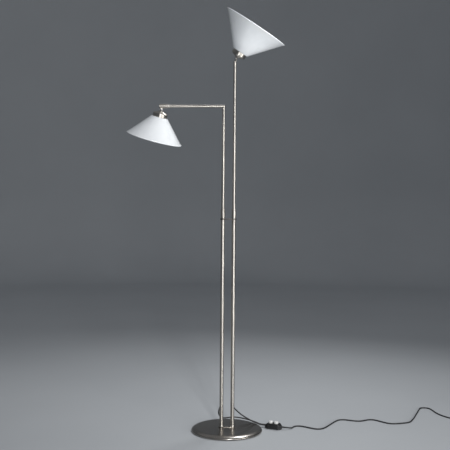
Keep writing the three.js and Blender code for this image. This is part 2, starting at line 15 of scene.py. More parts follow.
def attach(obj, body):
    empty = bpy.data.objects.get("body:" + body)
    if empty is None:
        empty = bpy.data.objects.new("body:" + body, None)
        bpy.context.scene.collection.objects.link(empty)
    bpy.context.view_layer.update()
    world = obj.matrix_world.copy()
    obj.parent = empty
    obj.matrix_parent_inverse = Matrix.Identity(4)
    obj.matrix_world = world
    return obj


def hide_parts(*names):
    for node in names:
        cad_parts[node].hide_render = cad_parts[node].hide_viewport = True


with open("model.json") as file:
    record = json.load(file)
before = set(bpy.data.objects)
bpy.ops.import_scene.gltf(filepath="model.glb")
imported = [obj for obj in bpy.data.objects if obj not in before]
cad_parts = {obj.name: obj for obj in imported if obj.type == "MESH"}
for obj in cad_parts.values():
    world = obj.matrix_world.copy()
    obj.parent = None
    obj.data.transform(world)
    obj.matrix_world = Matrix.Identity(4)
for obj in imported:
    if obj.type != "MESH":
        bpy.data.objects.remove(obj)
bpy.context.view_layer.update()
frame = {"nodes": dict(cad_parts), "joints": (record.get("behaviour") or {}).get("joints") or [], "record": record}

# ---------------------------------------------------------------- dimensions, in millimetres
POLE_X = 23
OUTER_R, OUTER_BORE = 8, 7
INNER_R, INNER_BORE = 6.5, 5.5
TUBE_LOW = 600  # lower end of both inner tubes
ARM_Z, ARM_REACH = 1358.5, 285
RIGHT_TUBE_TOP, BOWL_HINGE_Z = 1543, 1558.8
CORD_R = 2.75

NECK, NECK_R, GLASS = 32, 34.5, 3
SHADES = {"right": (124, 141), "left": (95, 119.5)}  # height and rim radius of each glass cone

UPLIGHT_AZIMUTH, UPLIGHT_TILT = -20.6, 34.8  # degrees
READING_ROLL, READING_TILT = 11.4, 15

SWITCH_PLACE, SWITCH_YAW = (198.5, 38, 0), -24
BUTTONS = {"left": -12, "right": 12}
COIL_CENTRE, COIL_R, COIL_TURNS = (1105, 221), 31, 2
PLUG_PLACE, PLUG_THICK = (1158, 190, 0), 13.7

RIGHT_LAMP_ROUTE = [
    (32.3, 24.1, 87.7), (40.5, 27.6, 78.6), (52, 31, 67.5), (67, 35.5, 55), (83, 41, 43.5),
    (97, 46.4, 34.4), (106, 50.2, 28.9), (114, 53.6, 24.1), (121.5, 56.6, 19.9),
    (129, 58.9, 16.3), (136.5, 59.7, 13.4), (143.9, 58.2, 11.5),
]
LEFT_LAMP_ROUTE = [
    (-30.8, 24.2, 88.5), (-33.4, 27, 79.2), (-34.4, 29, 69.5), (-33, 31, 60), (-28.3, 33, 51.8),
    (-20.6, 35, 45.8), (-10, 37.4, 43.4), (8, 43, 44), (30, 51.5, 43.5), (56, 62, 38.5),
    (83, 71, 30.5), (104, 74.5, 24), (120, 74.2, 18.5), (132, 71.4, 14.4), (140, 68.2, 12.2),
    (147.2, 64.4, 11.3),
]
MAINS_ROUTE = [
    (255.4, 21.8, 8.9), (265, 24.8, 6.9), (273.8, 32.4, 4.5), (280.5, 45, 3), (287, 57, 3),
    (297, 66, 3), (310, 68.5, 3), (325, 63, 3), (356, 39, 3), (373, 27, 3), (391.5, 25, 3),
    (408, 34, 3), (422, 52, 3), (482, 153, 3), (498, 170.5, 3), (518, 176, 3), (566, 157, 3),
    (585, 155, 3), (603, 161.5, 3), (621, 174, 3), (636, 180, 3), (651.5, 177.5, 3),
    (664, 167.5, 3), (690, 137, 3), (706, 122.5, 3), (725, 117, 3), (798, 140, 3),
    (828, 188, 3), (869, 282, 3), (905, 368, 3), (912.3, 384.2, 3), (922, 395, 3),
    (935, 399, 3), (948, 395, 3), (957.4, 384.6, 3), (961, 371, 3), (972, 284, 3),
    (1003, 221, 3), (1042, 200, 3), (1084.5, 190.7, 3),
]
TAIL_ROUTE = [(1124, 190.2, 12.6), (1133, 190, 10.9), (1143, 190, 8.6), (1150, 190, 7.3), (1157.7, 190, 6.9)]


def mm(point):
    return [c * 0.001 for c in point]


# ---------------------------------------------------------------- camera
def look():
    """The camera, level at the lamp's middle and rolled a little, with a short telephoto lens."""
    camera = bpy.data.objects.new("camera", bpy.data.cameras.new("camera"))
    bpy.context.scene.collection.objects.link(camera)
    camera.data.lens = 58.2
    level = Matrix.Rotation(math.radians(90), 4, "X")
    roll = Matrix.Rotation(math.radians(0.45), 4, "Z")
    camera.matrix_world = Matrix.Translation((-0.0138, -3.05, 0.862)) @ level @ roll
    bpy.context.scene.camera = camera


look()


# ---------------------------------------------------------------- materials
class Material:
    """A Principled material with the few node chains that the finishes below need."""

    def __init__(self, name, **constants):
        self.m = bpy.data.materials.new(name)
        self.m.use_nodes = True
        self.tree = self.m.node_tree
        self.shader = self.tree.nodes["Principled BSDF"]
        for socket, value in constants.items():
            self.shader.inputs[socket.replace("_", " ")].default_value = value

    def node(self, kind, **values):
        made = self.tree.nodes.new(kind)
        for key, value in values.items():
            setattr(made, key, value)
        return made

    def link(self, a, b):
        self.tree.links.new(a, b)

    def coordinates(self, stretch):
        """Object coordinates, multiplied along each axis."""
        place = self.node("ShaderNodeTexCoord")
        scaled = self.node("ShaderNodeVectorMath", operation="MULTIPLY")
        scaled.inputs[1].default_value = stretch
        self.link(place.outputs["Object"], scaled.inputs[0])
        return scaled.outputs[0]

    def lathe_coordinates(self):
        """Distance from the local Z axis and height along it, the same all round the part."""
        place = self.node("ShaderNodeTexCoord")
        split = self.node("ShaderNodeSeparateXYZ")
        flat = self.node("ShaderNodeCombineXYZ")
        length = self.node("ShaderNodeVectorMath", operation="LENGTH")
        made = self.node("ShaderNodeCombineXYZ")
        self.link(place.outputs["Object"], split.inputs[0])
        self.link(split.outputs["X"], flat.inputs["X"])
        self.link(split.outputs["Y"], flat.inputs["Y"])
        self.link(flat.outputs[0], length.inputs[0])
        self.link(length.outputs["Value"], made.inputs["X"])
        self.link(split.outputs["Z"], made.inputs["Y"])
        return made.outputs[0]

    def noise(self, coordinates, scale, detail=3.0, roughness=0.55):
        made = self.node("ShaderNodeTexNoise")
        made.inputs["Scale"].default_value = scale
        made.inputs["Detail"].default_value = detail
        made.inputs["Roughness"].default_value = roughness
        self.link(coordinates, made.inputs["Vector"])
        return made.outputs["Fac"]

    def ramp(self, factor, low, high, start=0.35, end=0.65):
        made = self.node("ShaderNodeValToRGB")
        made.color_ramp.elements[0].position = start
        made.color_ramp.elements[1].position = end
        made.color_ramp.elements[0].color = (*low, 1)
        made.color_ramp.elements[1].color = (*high, 1)
        self.link(factor, made.inputs["Fac"])
        return made.outputs["Color"]

    def colour(self, factor, low, high, **ends):
        self.link(self.ramp(factor, low, high, **ends), self.shader.inputs["Base Color"])

    def roughness(self, factor, low, high, **ends):
        self.link(self.ramp(factor, (low,) * 3, (high,) * 3, **ends), self.shader.inputs["Roughness"])

    def bump(self, height, distance, strength=1.0):
        made = self.node("ShaderNodeBump")
        made.inputs["Distance"].default_value = distance
        made.inputs["Strength"].default_value = strength
        self.link(height, made.inputs["Height"])
        above = self.shader.inputs["Normal"].links
        if above:
            self.link(above[0].from_socket, made.inputs["Normal"])
        self.link(made.outputs["Normal"], self.shader.inputs["Normal"])


def metal(name, low, high, smooth, rough, brush, **constants):
    """Satin metal: a cloudy change of tone, and fine brush lines in its gloss and its surface."""
    m = Material(name, Metallic=1.0, **constants)
    cloud = m.noise(m.coordinates((1, 1, 1)), 7, 3)
    lines = m.noise(brush(m), 1600, 2, 0.6)
    m.colour(cloud, low, high)
    m.roughness(lines, smooth, rough)
    m.bump(lines, 0.0000004)
    return m.m


def turned_brush(m):
    return m.lathe_coordinates()


def long_brush(m):
    return m.coordinates((0.05, 1, 1))


def mottled(name, low, high, smooth, rough, cloud_scale, grain_scale, grain, **constants):
    """Plastic, rubber and glass: tone and gloss vary with a soft cloud, and a fine grain."""
    m = Material(name, **constants)
    cloud = m.noise(m.coordinates((1, 1, 1)), cloud_scale)
    m.colour(cloud, low, high)
    m.roughness(cloud, smooth, rough)
    m.bump(m.noise(m.coordinates((1, 1, 1)), grain_scale, 2), grain)
    return m.m


def felt():
    """Dense black felt: matted fibres over a coarser mottle."""
    m = Material("felt", Sheen_Weight=0.35, Sheen_Roughness=0.6)
    fibres = m.noise(m.coordinates((1, 1, 1)), 1800, 5, 0.75)
    m.colour(fibres, (0.012, 0.012, 0.014), (0.06, 0.06, 0.065))
    m.roughness(fibres, 0.85, 1.0)
    m.bump(fibres, 0.0004)
    return m.m


NICKEL = metal(
    "nickel", (0.5, 0.475, 0.435), (0.54, 0.515, 0.475), 0.36, 0.42, turned_brush,
    Anisotropic=0.95, Anisotropic_Rotation=0.25,
)
BASE_NICKEL = metal("base_nickel", (0.36, 0.335, 0.305), (0.4, 0.375, 0.345), 0.2, 0.28, turned_brush)
DARK_NICKEL = metal("dark_nickel", (0.045, 0.042, 0.04), (0.06, 0.057, 0.054), 0.26, 0.34, long_brush)
PLATE = metal("nickel_plate", (0.38, 0.355, 0.32), (0.42, 0.395, 0.36), 0.22, 0.3, long_brush)
STEEL = metal("hardware", (0.45, 0.45, 0.46), (0.56, 0.56, 0.57), 0.24, 0.36, turned_brush)
BRASS = metal("brass", (0.55, 0.4, 0.18), (0.66, 0.5, 0.24), 0.25, 0.38, turned_brush)
PIN_METAL = metal("pin_nickel", (0.66, 0.65, 0.62), (0.75, 0.74, 0.71), 0.16, 0.26, turned_brush)
OPAL = mottled(
    "opal_glass", (0.8, 0.84, 0.88), (0.86, 0.9, 0.94), 0.1, 0.16, 9, 60, 0.00002,
    Subsurface_Weight=0.5, Subsurface_Radius=(1, 1, 1), Subsurface_Scale=0.01, IOR=1.5,
    Coat_Weight=0.3, Coat_Roughness=0.05,
)
BULB = mottled(
    "bulb_glass", (0.84, 0.84, 0.81), (0.92, 0.92, 0.9), 0.25, 0.35, 30, 900, 0.00001,
    Subsurface_Weight=0.3, Subsurface_Radius=(1, 1, 1), Subsurface_Scale=0.004, IOR=1.5,
)
PHENOLIC = mottled(
    "phenolic", (0.74, 0.7, 0.62), (0.82, 0.79, 0.71), 0.35, 0.5, 60, 2500, 0.00002, IOR=1.52,
)
NYLON = mottled("nylon", (0.7, 0.68, 0.62), (0.8, 0.78, 0.72), 0.45, 0.6, 50, 1500, 0.00003)
IRON = mottled("cast_iron", (0.03, 0.03, 0.033), (0.09, 0.09, 0.095), 0.6, 0.85, 70, 600, 0.0003)
BLACK_PLASTIC = mottled(
    "black_plastic", (0.009, 0.009, 0.01), (0.018, 0.018, 0.019), 0.3, 0.44, 45, 2200, 0.00003, IOR=1.5,
)
BLACK_FLEX = mottled(
    "black_flex", (0.009, 0.009, 0.01), (0.017, 0.017, 0.019), 0.42, 0.56, 35, 1400, 0.00004, IOR=1.5,
)
WHITE_PLASTIC = mottled(
    "white_plastic", (0.78, 0.78, 0.77), (0.85, 0.85, 0.84), 0.22, 0.34, 70, 2600, 0.00001, IOR=1.5,
)
FELT = felt()
SLOT_FINISH = {
    "nickel": NICKEL, "hardware": STEEL, "iron": IRON, "pad": FELT, "nylon": NYLON, "brass": BRASS,
    "pin_brass": PIN_METAL, "opal_glass": OPAL, "bulb": BULB, "phenolic": PHENOLIC,
    "black_plastic": BLACK_PLASTIC, "black_flex": BLACK_FLEX, "white_plastic": WHITE_PLASTIC,
}


# ---------------------------------------------------------------- mesh tools
def link_object(name, data):
    made = bpy.data.objects.new(name, data)
    bpy.context.scene.collection.objects.link(made)
    return made


def finished(mesh, sharp=35):
    """Welds and cleans a mesh, points its faces out and shades it smooth up to sharp degrees."""
    bm = bmesh.new()
    bm.from_mesh(mesh)
    bmesh.ops.remove_doubles(bm, verts=bm.verts, dist=2e-6)
    bmesh.ops.dissolve_degenerate(bm, edges=bm.edges, dist=1e-6)
    bmesh.ops.recalc_face_normals(bm, faces=bm.faces)
    bm.to_mesh(mesh)
    bm.free()
    mesh.shade_smooth()
    mesh.set_sharp_from_angle(angle=math.radians(sharp))
    return mesh


def solid(name, points, faces):
    """An unplaced object from points in millimetres."""
    mesh = bpy.data.meshes.new(name)
    mesh.from_pydata([mm(p) for p in points], [], faces)
    return link_object(name, finished(mesh))


def filleted(outline, steps=4, closed=False):
    """The outline with every corner given as (x, y, fillet) rounded off."""
    count, made = len(outline), []
    for i, corner in enumerate(outline):
        if len(corner) < 3 or (not closed and i in (0, count - 1)):
            made.append(tuple(corner[:2]))
            continue
        before, at, after = (np.array(outline[j % count][:2], float) for j in (i - 1, i, i + 1))
        back, on = before - at, after - at
        u, v = back / np.linalg.norm(back), on / np.linalg.norm(on)
        half = math.acos(float(np.clip(u @ v, -1, 1))) / 2
        reach = min(corner[2] / math.tan(half), 0.49 * np.linalg.norm(back), 0.49 * np.linalg.norm(on))
        start, end = at + u * reach, at + v * reach
        for t in np.linspace(0, 1, steps + 1):
            made.append(tuple((1 - t) ** 2 * start + 2 * t * (1 - t) * at + t * t * end))
    return made


def lathed(name, outline, sides=64, ring=False, wave=None):
    """A body turned about Z. A ring's outline is a closed loop.

    wave(angle, radius, height), where there is one, gives the radius to use at that angle.
    """
    profile = filleted(outline, closed=ring)
    points, rings = [], []
    for r, z in profile:
        if r < 1e-6:
            points.append((0, 0, z))
            rings.append([len(points) - 1] * sides)
            continue
        rings.append(list(range(len(points), len(points) + sides)))
        for k in range(sides):
            a = 2 * math.pi * k / sides
            radius = wave(a, r, z) if wave else r
            points.append((radius * math.cos(a), radius * math.sin(a), z))
    pairs = list(zip(rings, rings[1:]))
    if ring:
        pairs.append((rings[-1], rings[0]))
    faces = []
    for low, high in pairs:
        for k in range(sides):
            n = (k + 1) % sides
            face = list(dict.fromkeys((low[k], low[n], high[n], high[k])))
            if len(face) > 2:
                faces.append(face)
    return solid(name, points, faces)


def skinned(name, rings):
    """A closed body skinned over rings that have the same number of points, with both ends closed."""
    sides = len(rings[0])
    points = [tuple(p) for ring in rings for p in ring]
    faces = [tuple(range(sides)), tuple(range(len(points) - sides, len(points)))]
    for i in range(1, len(rings)):
        low, high = (i - 1) * sides, i * sides
        for k in range(sides):
            n = (k + 1) % sides
            faces.append((low + k, low + n, high + n, high + k))
    return solid(name, points, faces)


def pipe(name, outer, bore, bottom, top, sides=48, edge=0.3):
    outline = [(bore, bottom, edge), (outer, bottom, edge), (outer, top, edge), (bore, top, edge)]
    return lathed(name, outline, sides, ring=True)


def arc(centre, radius, start, end, count):
    """Points on an arc, from start to end in radians."""
    angles = np.linspace(start, end, count)
    return [(centre[0] + radius * math.cos(a), centre[1] + radius * math.sin(a)) for a in angles]


def plate(name, outlines, bottom, top, edge):
    """A flat plate with its plan outline and holes, and its edges rounded by edge."""
    curve = bpy.data.curves.new(name, "CURVE")
    curve.dimensions, curve.fill_mode = "2D", "BOTH"
    curve.extrude = ((top - bottom) / 2 - edge) * 0.001
    curve.bevel_depth, curve.bevel_resolution, curve.offset = edge * 0.001, 3, -edge * 0.001
    for outline in outlines:
        spline = curve.splines.new("POLY")
        spline.points.add(len(outline) - 1)
        for point, (x, y) in zip(spline.points, outline):
            point.co = (x * 0.001, y * 0.001, 0, 1)
        spline.use_cyclic_u = True
    lofted = link_object(name, curve)
    mesh = bpy.data.meshes.new_from_object(lofted)
    bpy.data.objects.remove(lofted)
    mesh.transform(Matrix.Translation((0, 0, (top + bottom) / 2 * 0.001)))
    return link_object(name, finished(mesh))


def cut_off(bm, normal, distance):
    """Removes what lies beyond a plane, and closes the cut."""
    n = Vector(normal).normalized()
    geometry = bm.verts[:] + bm.edges[:] + bm.faces[:]
    cut = bmesh.ops.bisect_plane(
        bm, geom=geometry, plane_co=n * distance * 0.001, plane_no=n, clear_outer=True
    )
    edges = [e for e in cut["geom_cut"] if isinstance(e, bmesh.types.BMEdge)]
    bmesh.ops.holes_fill(bm, edges=edges)


def block(name, planes, bevel, segments=4):
    """A convex block bounded by planes given as (normal, distance), with every edge rounded."""
    bm = bmesh.new()
    bmesh.ops.create_cube(bm, size=0.4)
    for normal, distance in planes:
        cut_off(bm, normal, distance)
    bmesh.ops.bevel(
        bm, geom=bm.edges[:], offset=bevel * 0.001, segments=segments, profile=0.5,
        affect="EDGES", clamp_overlap=True,
    )
    mesh = bpy.data.meshes.new(name)
    bm.to_mesh(mesh)
    bm.free()
    return link_object(name, finished(mesh))


def plane_through(normal, point):
    """A plane as its normal and its distance from the origin."""
    return normal, sum(n * p for n, p in zip(normal, point)) / math.hypot(*normal)


def box_planes(x, y, z):
    """The six planes of an upright box between the given limits."""
    limits = zip(((1, 0, 0), (0, 1, 0), (0, 0, 1)), (x, y, z))
    return [(axis, high) for axis, (_, high) in limits] + [
        ((-1, 0, 0), -x[0]), ((0, -1, 0), -y[0]), ((0, 0, -1), -z[0]),
    ]


def combined(base, operation, *others):
    """base joined with or cut by the other objects, which are used up."""
    for other in others:
        step = base.modifiers.new("step", "BOOLEAN")
        step.operation, step.solver, step.object = operation, "MANIFOLD", other
        bpy.context.view_layer.update()
        evaluated = base.evaluated_get(bpy.context.evaluated_depsgraph_get())
        mesh = bpy.data.meshes.new_from_object(evaluated)
        base.modifiers.clear()
        base.data = finished(mesh)
        bpy.data.objects.remove(other)
    return base


def shifted(piece, *steps):
    """The piece's own mesh moved by matrices, first to last."""
    for step in steps:
        piece.data.transform(step)
    return piece


def move(x, y, z):
    return Matrix.Translation(mm((x, y, z)))


def turn(degrees, axis):
    return Matrix.Rotation(math.radians(degrees), 4, axis)


def placed(piece, body, material, nodes=(), at=None):
    """Puts a piece in the row frame with its material and its body, and hides the CAD nodes it stands for."""
    piece.matrix_world = at or Matrix.Identity(4)
    piece.data.materials.clear()
    piece.data.materials.append(material)
    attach(piece, body)
    if nodes:
        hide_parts(*nodes)
    return piece


# ---------------------------------------------------------------- routes and swept shapes
def smooth(route, step=3.0):
    """Points a step apart on the centripetal Catmull-Rom curve through a route."""
    p = [np.array(q, float) for q in route]
    p = [2 * p[0] - p[1], *p, 2 * p[-1] - p[-2]]
    made = []
    for a, b, c, d in zip(p, p[1:], p[2:], p[3:]):
        t0 = 0.0
        t1 = t0 + np.linalg.norm(b - a) ** 0.5
        t2 = t1 + np.linalg.norm(c - b) ** 0.5
        t3 = t2 + np.linalg.norm(d - c) ** 0.5
        for t in np.linspace(t1, t2, max(2, math.ceil(np.linalg.norm(c - b) / step)) + 1)[:-1]:
            a1 = (t1 - t) / (t1 - t0) * a + (t - t0) / (t1 - t0) * b
            a2 = (t2 - t) / (t2 - t1) * b + (t - t1) / (t2 - t1) * c
            a3 = (t3 - t) / (t3 - t2) * c + (t - t2) / (t3 - t2) * d
            b1 = (t2 - t) / (t2 - t0) * a1 + (t - t0) / (t2 - t0) * a2
            b2 = (t3 - t) / (t3 - t1) * a2 + (t - t1) / (t3 - t1) * a3
            made.append((t2 - t) / (t2 - t1) * b1 + (t - t1) / (t2 - t1) * b2)
    made.append(p[-2])
    return [tuple(q) for q in made]


def coil_turns():
    """The coil's turns, from its south point. Each lies flat, and in its last third climbs a cord's width."""
    made = []
    for k in range(1, COIL_TURNS * 36):
        turns = k / 36
        climb = min(1, max(0, (turns % 1 - 0.64) / 0.36))
        a = 2 * math.pi * turns - math.pi / 2
        z = CORD_R + 2 * CORD_R * (int(turns) + climb * climb * (3 - 2 * climb))
        made.append((COIL_CENTRE[0] + COIL_R * math.cos(a), COIL_CENTRE[1] + COIL_R * math.sin(a), z))
    return made


def flex(name, points, body, *nodes):
    """A round cord along points in millimetres, as one curve."""
    curve = bpy.data.curves.new(name, "CURVE")
    curve.dimensions = "3D"
    curve.bevel_depth, curve.bevel_resolution = CORD_R * 0.001, 4
    curve.use_fill_caps = True
    spline = curve.splines.new("POLY")
    spline.points.add(len(points) - 1)
    for point, p in zip(spline.points, points):
        point.co = (*mm(p), 1)
    spline.use_smooth = True
    return placed(link_object(name, curve), body, BLACK_FLEX, nodes)


def swept(name, route, section, sides=24, step=0.5):
    """A closed tube along a route: section(t) gives its half width and half height at share t."""
    line = np.array(smooth(route, step))
    along = np.concatenate([[0], np.cumsum(np.linalg.norm(np.diff(line, axis=0), axis=1))])
    rings = []
    for at, heading, so_far in zip(line, np.gradient(line, axis=0), along):
        heading = heading / np.linalg.norm(heading)
        across = np.cross((0, 0, 1), heading)
        across /= np.linalg.norm(across)
        upward = np.cross(heading, across)
        wide, tall = section(so_far / along[-1])
        angles = 2 * math.pi * np.arange(sides) / sides
        rings.append([at + across * wide * math.cos(a) + upward * tall * math.sin(a) for a in angles])
    return skinned(name, rings)


def ribbed(root, tip, ribs, depth=0.32, collar=0.1):
    """The section of a strain relief: a taper with a plain collar at the root, then evenly spaced grooves."""

    def section(t):
        taper = [root[k] + (tip[k] - root[k]) * t for k in (0, 1)]
        if t < collar or t > 0.94:
            return taper
        phase = (t - collar) / (0.94 - collar) * ribs % 1
        groove = depth * max(0.0, math.sin(math.pi * phase)) ** 0.6 if phase > 0.35 else 0.0
        return [s - groove for s in taper]

    return section


# ---------------------------------------------------------------- cords
def switch_matrix():
    return move(*SWITCH_PLACE) @ turn(SWITCH_YAW, "Z")


def add_reliefs():
    """The tapered strain reliefs at the poles and at the foot switch."""
    pole_routes = {
        "right": [(23, 6, 100), (23, 13, 99.4), (26, 20, 95.5), (31.8, 23.8, 88.3)],
        "left": [(-23, 6, 100), (-23.3, 13, 99.7), (-26.4, 20, 97), (-30.4, 23.9, 89.3)],
    }
    for side, route in pole_routes.items():
        made = swept(f"{side}_pole_relief", route, ribbed((4.2, 4.2), (3.1, 3.1), 6))
        placed(made, "frame", BLACK_FLEX, [f"{side}_cord_relief"])
    way_in = [(-35, 0, 11.2), (-44, 0, 11.2), (-57, 0, 11.2)]
    way_out = [(35, 0, 11.1), (42, 0.6, 10.9), (50, 3.2, 9.8), (58, 7.9, 9.1)]
    into = swept("switch_inlet_relief", way_in, ribbed((8, 3.5), (6.4, 3), 5), sides=32)
    out = swept("switch_outlet_relief", way_out, ribbed((4.4, 3.5), (3.1, 3.1), 6))
    placed(into, "frame", BLACK_FLEX, ["switch_relief_in"], switch_matrix())
    placed(out, "frame", BLACK_FLEX, ["switch_relief_out"], switch_matrix())
    return into, out


def coil_tie():
    """A flat strap round the coil's turns."""
    angle = math.radians(150)
    half_wide, half_tall, corner = 3.4, 6.1, 2.2
    loop = filleted(
        [(-half_wide, -half_tall, corner), (half_wide, -half_tall, corner),
         (half_wide, half_tall, corner), (-half_wide, half_tall, corner)], closed=True,
    )
    thick, width = 0.7, 7
    points, faces = [], []
    for x, z in loop:
        length = math.hypot(x, z)
        for grow, y in ((0, -width / 2), (thick, -width / 2), (thick, width / 2), (0, width / 2)):
            points.append((x * (1 + grow / length), y, z * (1 + grow / length)))
    count = len(loop)
    for i in range(count):
        n = (i + 1) % count
        for k in range(4):
            j = (k + 1) % 4
            faces.append((i * 4 + k, i * 4 + j, n * 4 + j, n * 4 + k))
    strap = solid("coil_tie", points, faces)
    at = move(
        COIL_CENTRE[0] + COIL_R * math.cos(angle), COIL_CENTRE[1] + COIL_R * math.sin(angle), half_tall + 0.75
    )
    return placed(strap, "frame", BLACK_PLASTIC, at=at @ Matrix.Rotation(angle, 4, "Z"))


def add_cords():
    """The two lamp cords, from pole to switch, and the mains cord, with its coil, to the plug."""
    add_reliefs()
    right = flex("right_lamp_flex", smooth(RIGHT_LAMP_ROUTE), "frame", "right_lamp_cord")
    left = flex("left_lamp_flex", smooth(LEFT_LAMP_ROUTE), "frame", "left_lamp_cord")
    south = (COIL_CENTRE[0], COIL_CENTRE[1] - COIL_R)
    lead = smooth([*MAINS_ROUTE, (*south, CORD_R)])
    leaving = smooth([(*south, 5 * CORD_R), (1114, 190.1, 13.5), *TAIL_ROUTE])
    route = [*lead, *coil_turns(), *leaving]
    mains = flex("mains_flex", route, "frame", "mains_cord", "mains_coil", "mains_tail")
    pieces = [coil_tie(), *add_plug()]


# ---------------------------------------------------------------- plug
def add_plug():
    """A flat two-pin plug: body, ribbed boot and two pins with insulated roots."""
    at = move(*PLUG_PLACE)
    middle = PLUG_THICK / 2
    planes = box_planes((30, 68), (-17.4, 17.4), (-middle, middle))
    for s in (1, -1):
        planes.append(plane_through((5.15, 9 * s, 0), (59, 17.6 * s, 0)))
        planes.append(plane_through((-10.6, 13 * s, 0), (32, 7 * s, 0)))
    body = block("plug_shell", planes, 2.2)
    shifted(body, move(0, 0, middle))
    rod = [(0, -14), (0.9, -14, 0.4), (0.9, 14, 0.4), (0, 14)]
    grooves = [
        shifted(lathed("groove", rod, 16), turn(90, "X"), move(x, 0, z))
        for x in (44, 48.5, 53, 57.5) for z in (0, PLUG_THICK)
    ]
    combined(body, "DIFFERENCE", *grooves)
    placed(body, "frame", BLACK_PLASTIC, ["plug_body"], at)
    route = [(34, 0, middle), (15, 0, middle), (0, 0, middle)]
    boot = swept("plug_boot", route, ribbed((5, 5), (3.2, 3.2), 7, 0.45, 0.16))
    placed(boot, "frame", BLACK_PLASTIC, at=at)
    made = [body, boot]
    shank = [(0, 0), (1.95, 0, 0.2), (1.95, 21, 1.1), (1.1, 22.6, 0.5), (0, 22.6)]
    for name, y in (("near", -9.3), ("far", 9.3)):
        pin = lathed(f"plug_pin_{name}_fine", shank, 32)
        root = pipe(f"plug_pin_{name}_sleeve", 2, 1.7, 0, 13.4, 32, 0.12)
        for piece, finish, nodes, slot in (
            (pin, PIN_METAL, [f"plug_pin_{name}"], "pin_brass"), (root, BLACK_PLASTIC, (), "black_plastic"),
        ):
            shifted(piece, turn(90, "Y"), move(64.4, y, middle))
            made.append(placed(piece, "frame", finish, nodes, at))
    return made


# ---------------------------------------------------------------- base
def edge_curve(count=22):
    """The base's rounded edge: a quarter ellipse from the flat top to the widest point."""
    angles = np.linspace(math.pi / 2, 0, count)
    return [(118 + 30 * math.cos(a), 5 + 11.4 * math.sin(a)) for a in angles]


def add_base():
    hem = [
        (147.6, 3.4), (146.4, 2.3), (143, 1.2, 0.5), (140, 1.2, 0.4),
        (140, 2.4, 0.4), (142.7, 2.4), (145.4, 3.2),
    ]
    inside = [(146.6, 5), (141, 11), (118, 15), (0, 15)]
    cover = lathed("base_cover_fine", [(0, 16.4), (60, 16.4), *edge_curve(), *hem, *inside], 192)
    placed(cover, "frame", BASE_NICKEL, ["base_cover"])
    pad = lathed("base_pad_fine", [(0, 0), (139, 0, 0.8), (139, 2.7, 0.8), (0, 2.7)], 128)
    placed(pad, "frame", FELT, ["base_pad"])
    foot = plate("foot_plate_fine", [stadium(12)], 16.6, 18.3, 0.45)
    placed(foot, "frame", PLATE, ["foot_plate"])
    collar = [
        (8.15, 18.4, 0.2), (11.5, 18.4, 0.3), (11.5, 19.8, 0.8),
        (9.5, 22.6, 1.6), (9.2, 25, 0.4), (8.15, 25, 0.2),
    ]
    for side, x in (("left", -POLE_X), ("right", POLE_X)):
        ferrule = lathed(f"{side}_ferrule_fine", collar, 64, ring=True)
        placed(ferrule, "frame", NICKEL, [f"{side}_ferrule"], move(x, 0, 0))


def stadium(radius, steps=24):
    """A plan outline with half-round ends about the two poles."""
    right = arc((POLE_X, 0), radius, -math.pi / 2, math.pi / 2, steps)
    left = arc((-POLE_X, 0), radius, math.pi / 2, 1.5 * math.pi, steps)
    return [*right, *left]


# ---------------------------------------------------------------- poles
def add_poles():
    holes = [arc((x, 0), 8.25, 0, 2 * math.pi, 49)[:-1] for x in (-POLE_X, POLE_X)]
    bridge = plate("bridge_plate_fine", [stadium(11), *holes], 884.3, 888.8, 0.6)
    placed(bridge, "frame", DARK_NICKEL, ["bridge_plate"])
    for side, x in (("left", -POLE_X), ("right", POLE_X)):
        at = move(x, 0, 0)
        tube = pipe(f"{side}_outer_tube_fine", OUTER_R, OUTER_BORE, 18.6, 905)
        placed(tube, "frame", NICKEL, [f"{side}_outer_tube"], at)
        sleeve = [
            (8.3, 889.1, 0.2), (9.3, 889.1, 0.4), (9.3, 922.3, 0.3), (10.3, 923.8, 0.6), (10.3, 927.2, 0.8),
            (9.2, 928, 0.5), (6.9, 928, 0.3), (6.9, 923, 0.2), (8.3, 923, 0.2),
        ]
        made = lathed(f"{side}_clamp_sleeve_fine", sleeve, 64, ring=True)
        placed(made, "frame", NICKEL, [f"{side}_clamp_sleeve"], at)
        lip = [(4, -1.2, 0.2), (5.6, -1.2, 0.3), (5.6, 0.9, 0.7), (4, 1.3, 0.3)]
        grommet = lathed(f"{side}_cord_grommet", lip, 40, ring=True)
        shifted(grommet, turn(-90, "X"), move(0, OUTER_R, 100))
        placed(grommet, "frame", BLACK_FLEX, at=at)


def mitred_tube(name, length):
    """A tube up Z that ends on a 45 degree mitre, higher towards +X."""
    made = pipe(name, INNER_R, INNER_BORE, 0, length, 48, 0.02)
    for v in made.data.vertices:
        if v.co.z > (length - 1) * 0.001:
            v.co.z += v.co.x
    return made


def add_arm():
    upright = mitred_tube("left_inner_tube_fine", ARM_Z - TUBE_LOW)
    placed(upright, "left_pole", NICKEL, ["left_inner_tube"], move(-POLE_X, 0, TUBE_LOW))
    arm = mitred_tube("left_arm_tube_fine", ARM_REACH - POLE_X)
    at = move(-ARM_REACH, 0, ARM_Z) @ turn(90, "Y") @ turn(180, "Z")
    placed(arm, "left_pole", NICKEL, ["left_arm_tube"], at)


# ---------------------------------------------------------------- hinges and heads
def joint_place(name):
    """A hinge's place in the row frame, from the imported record."""
    found = next(j for j in frame["joints"] if j["name"] == name)
    return Matrix.Translation(found["pos_m"])


def eye(name, side):
    """A hinge eye: a thick washer about Y, on the head's side of the hinge (+1) or the pole's (-1)."""
    ring = lathed(name, [(0, 0.3, 0.1), (5, 0.3, 0.25), (5, 5.5, 0.7), (0, 5.5)], 48)
    return shifted(ring, turn(-90 * side, "X"))


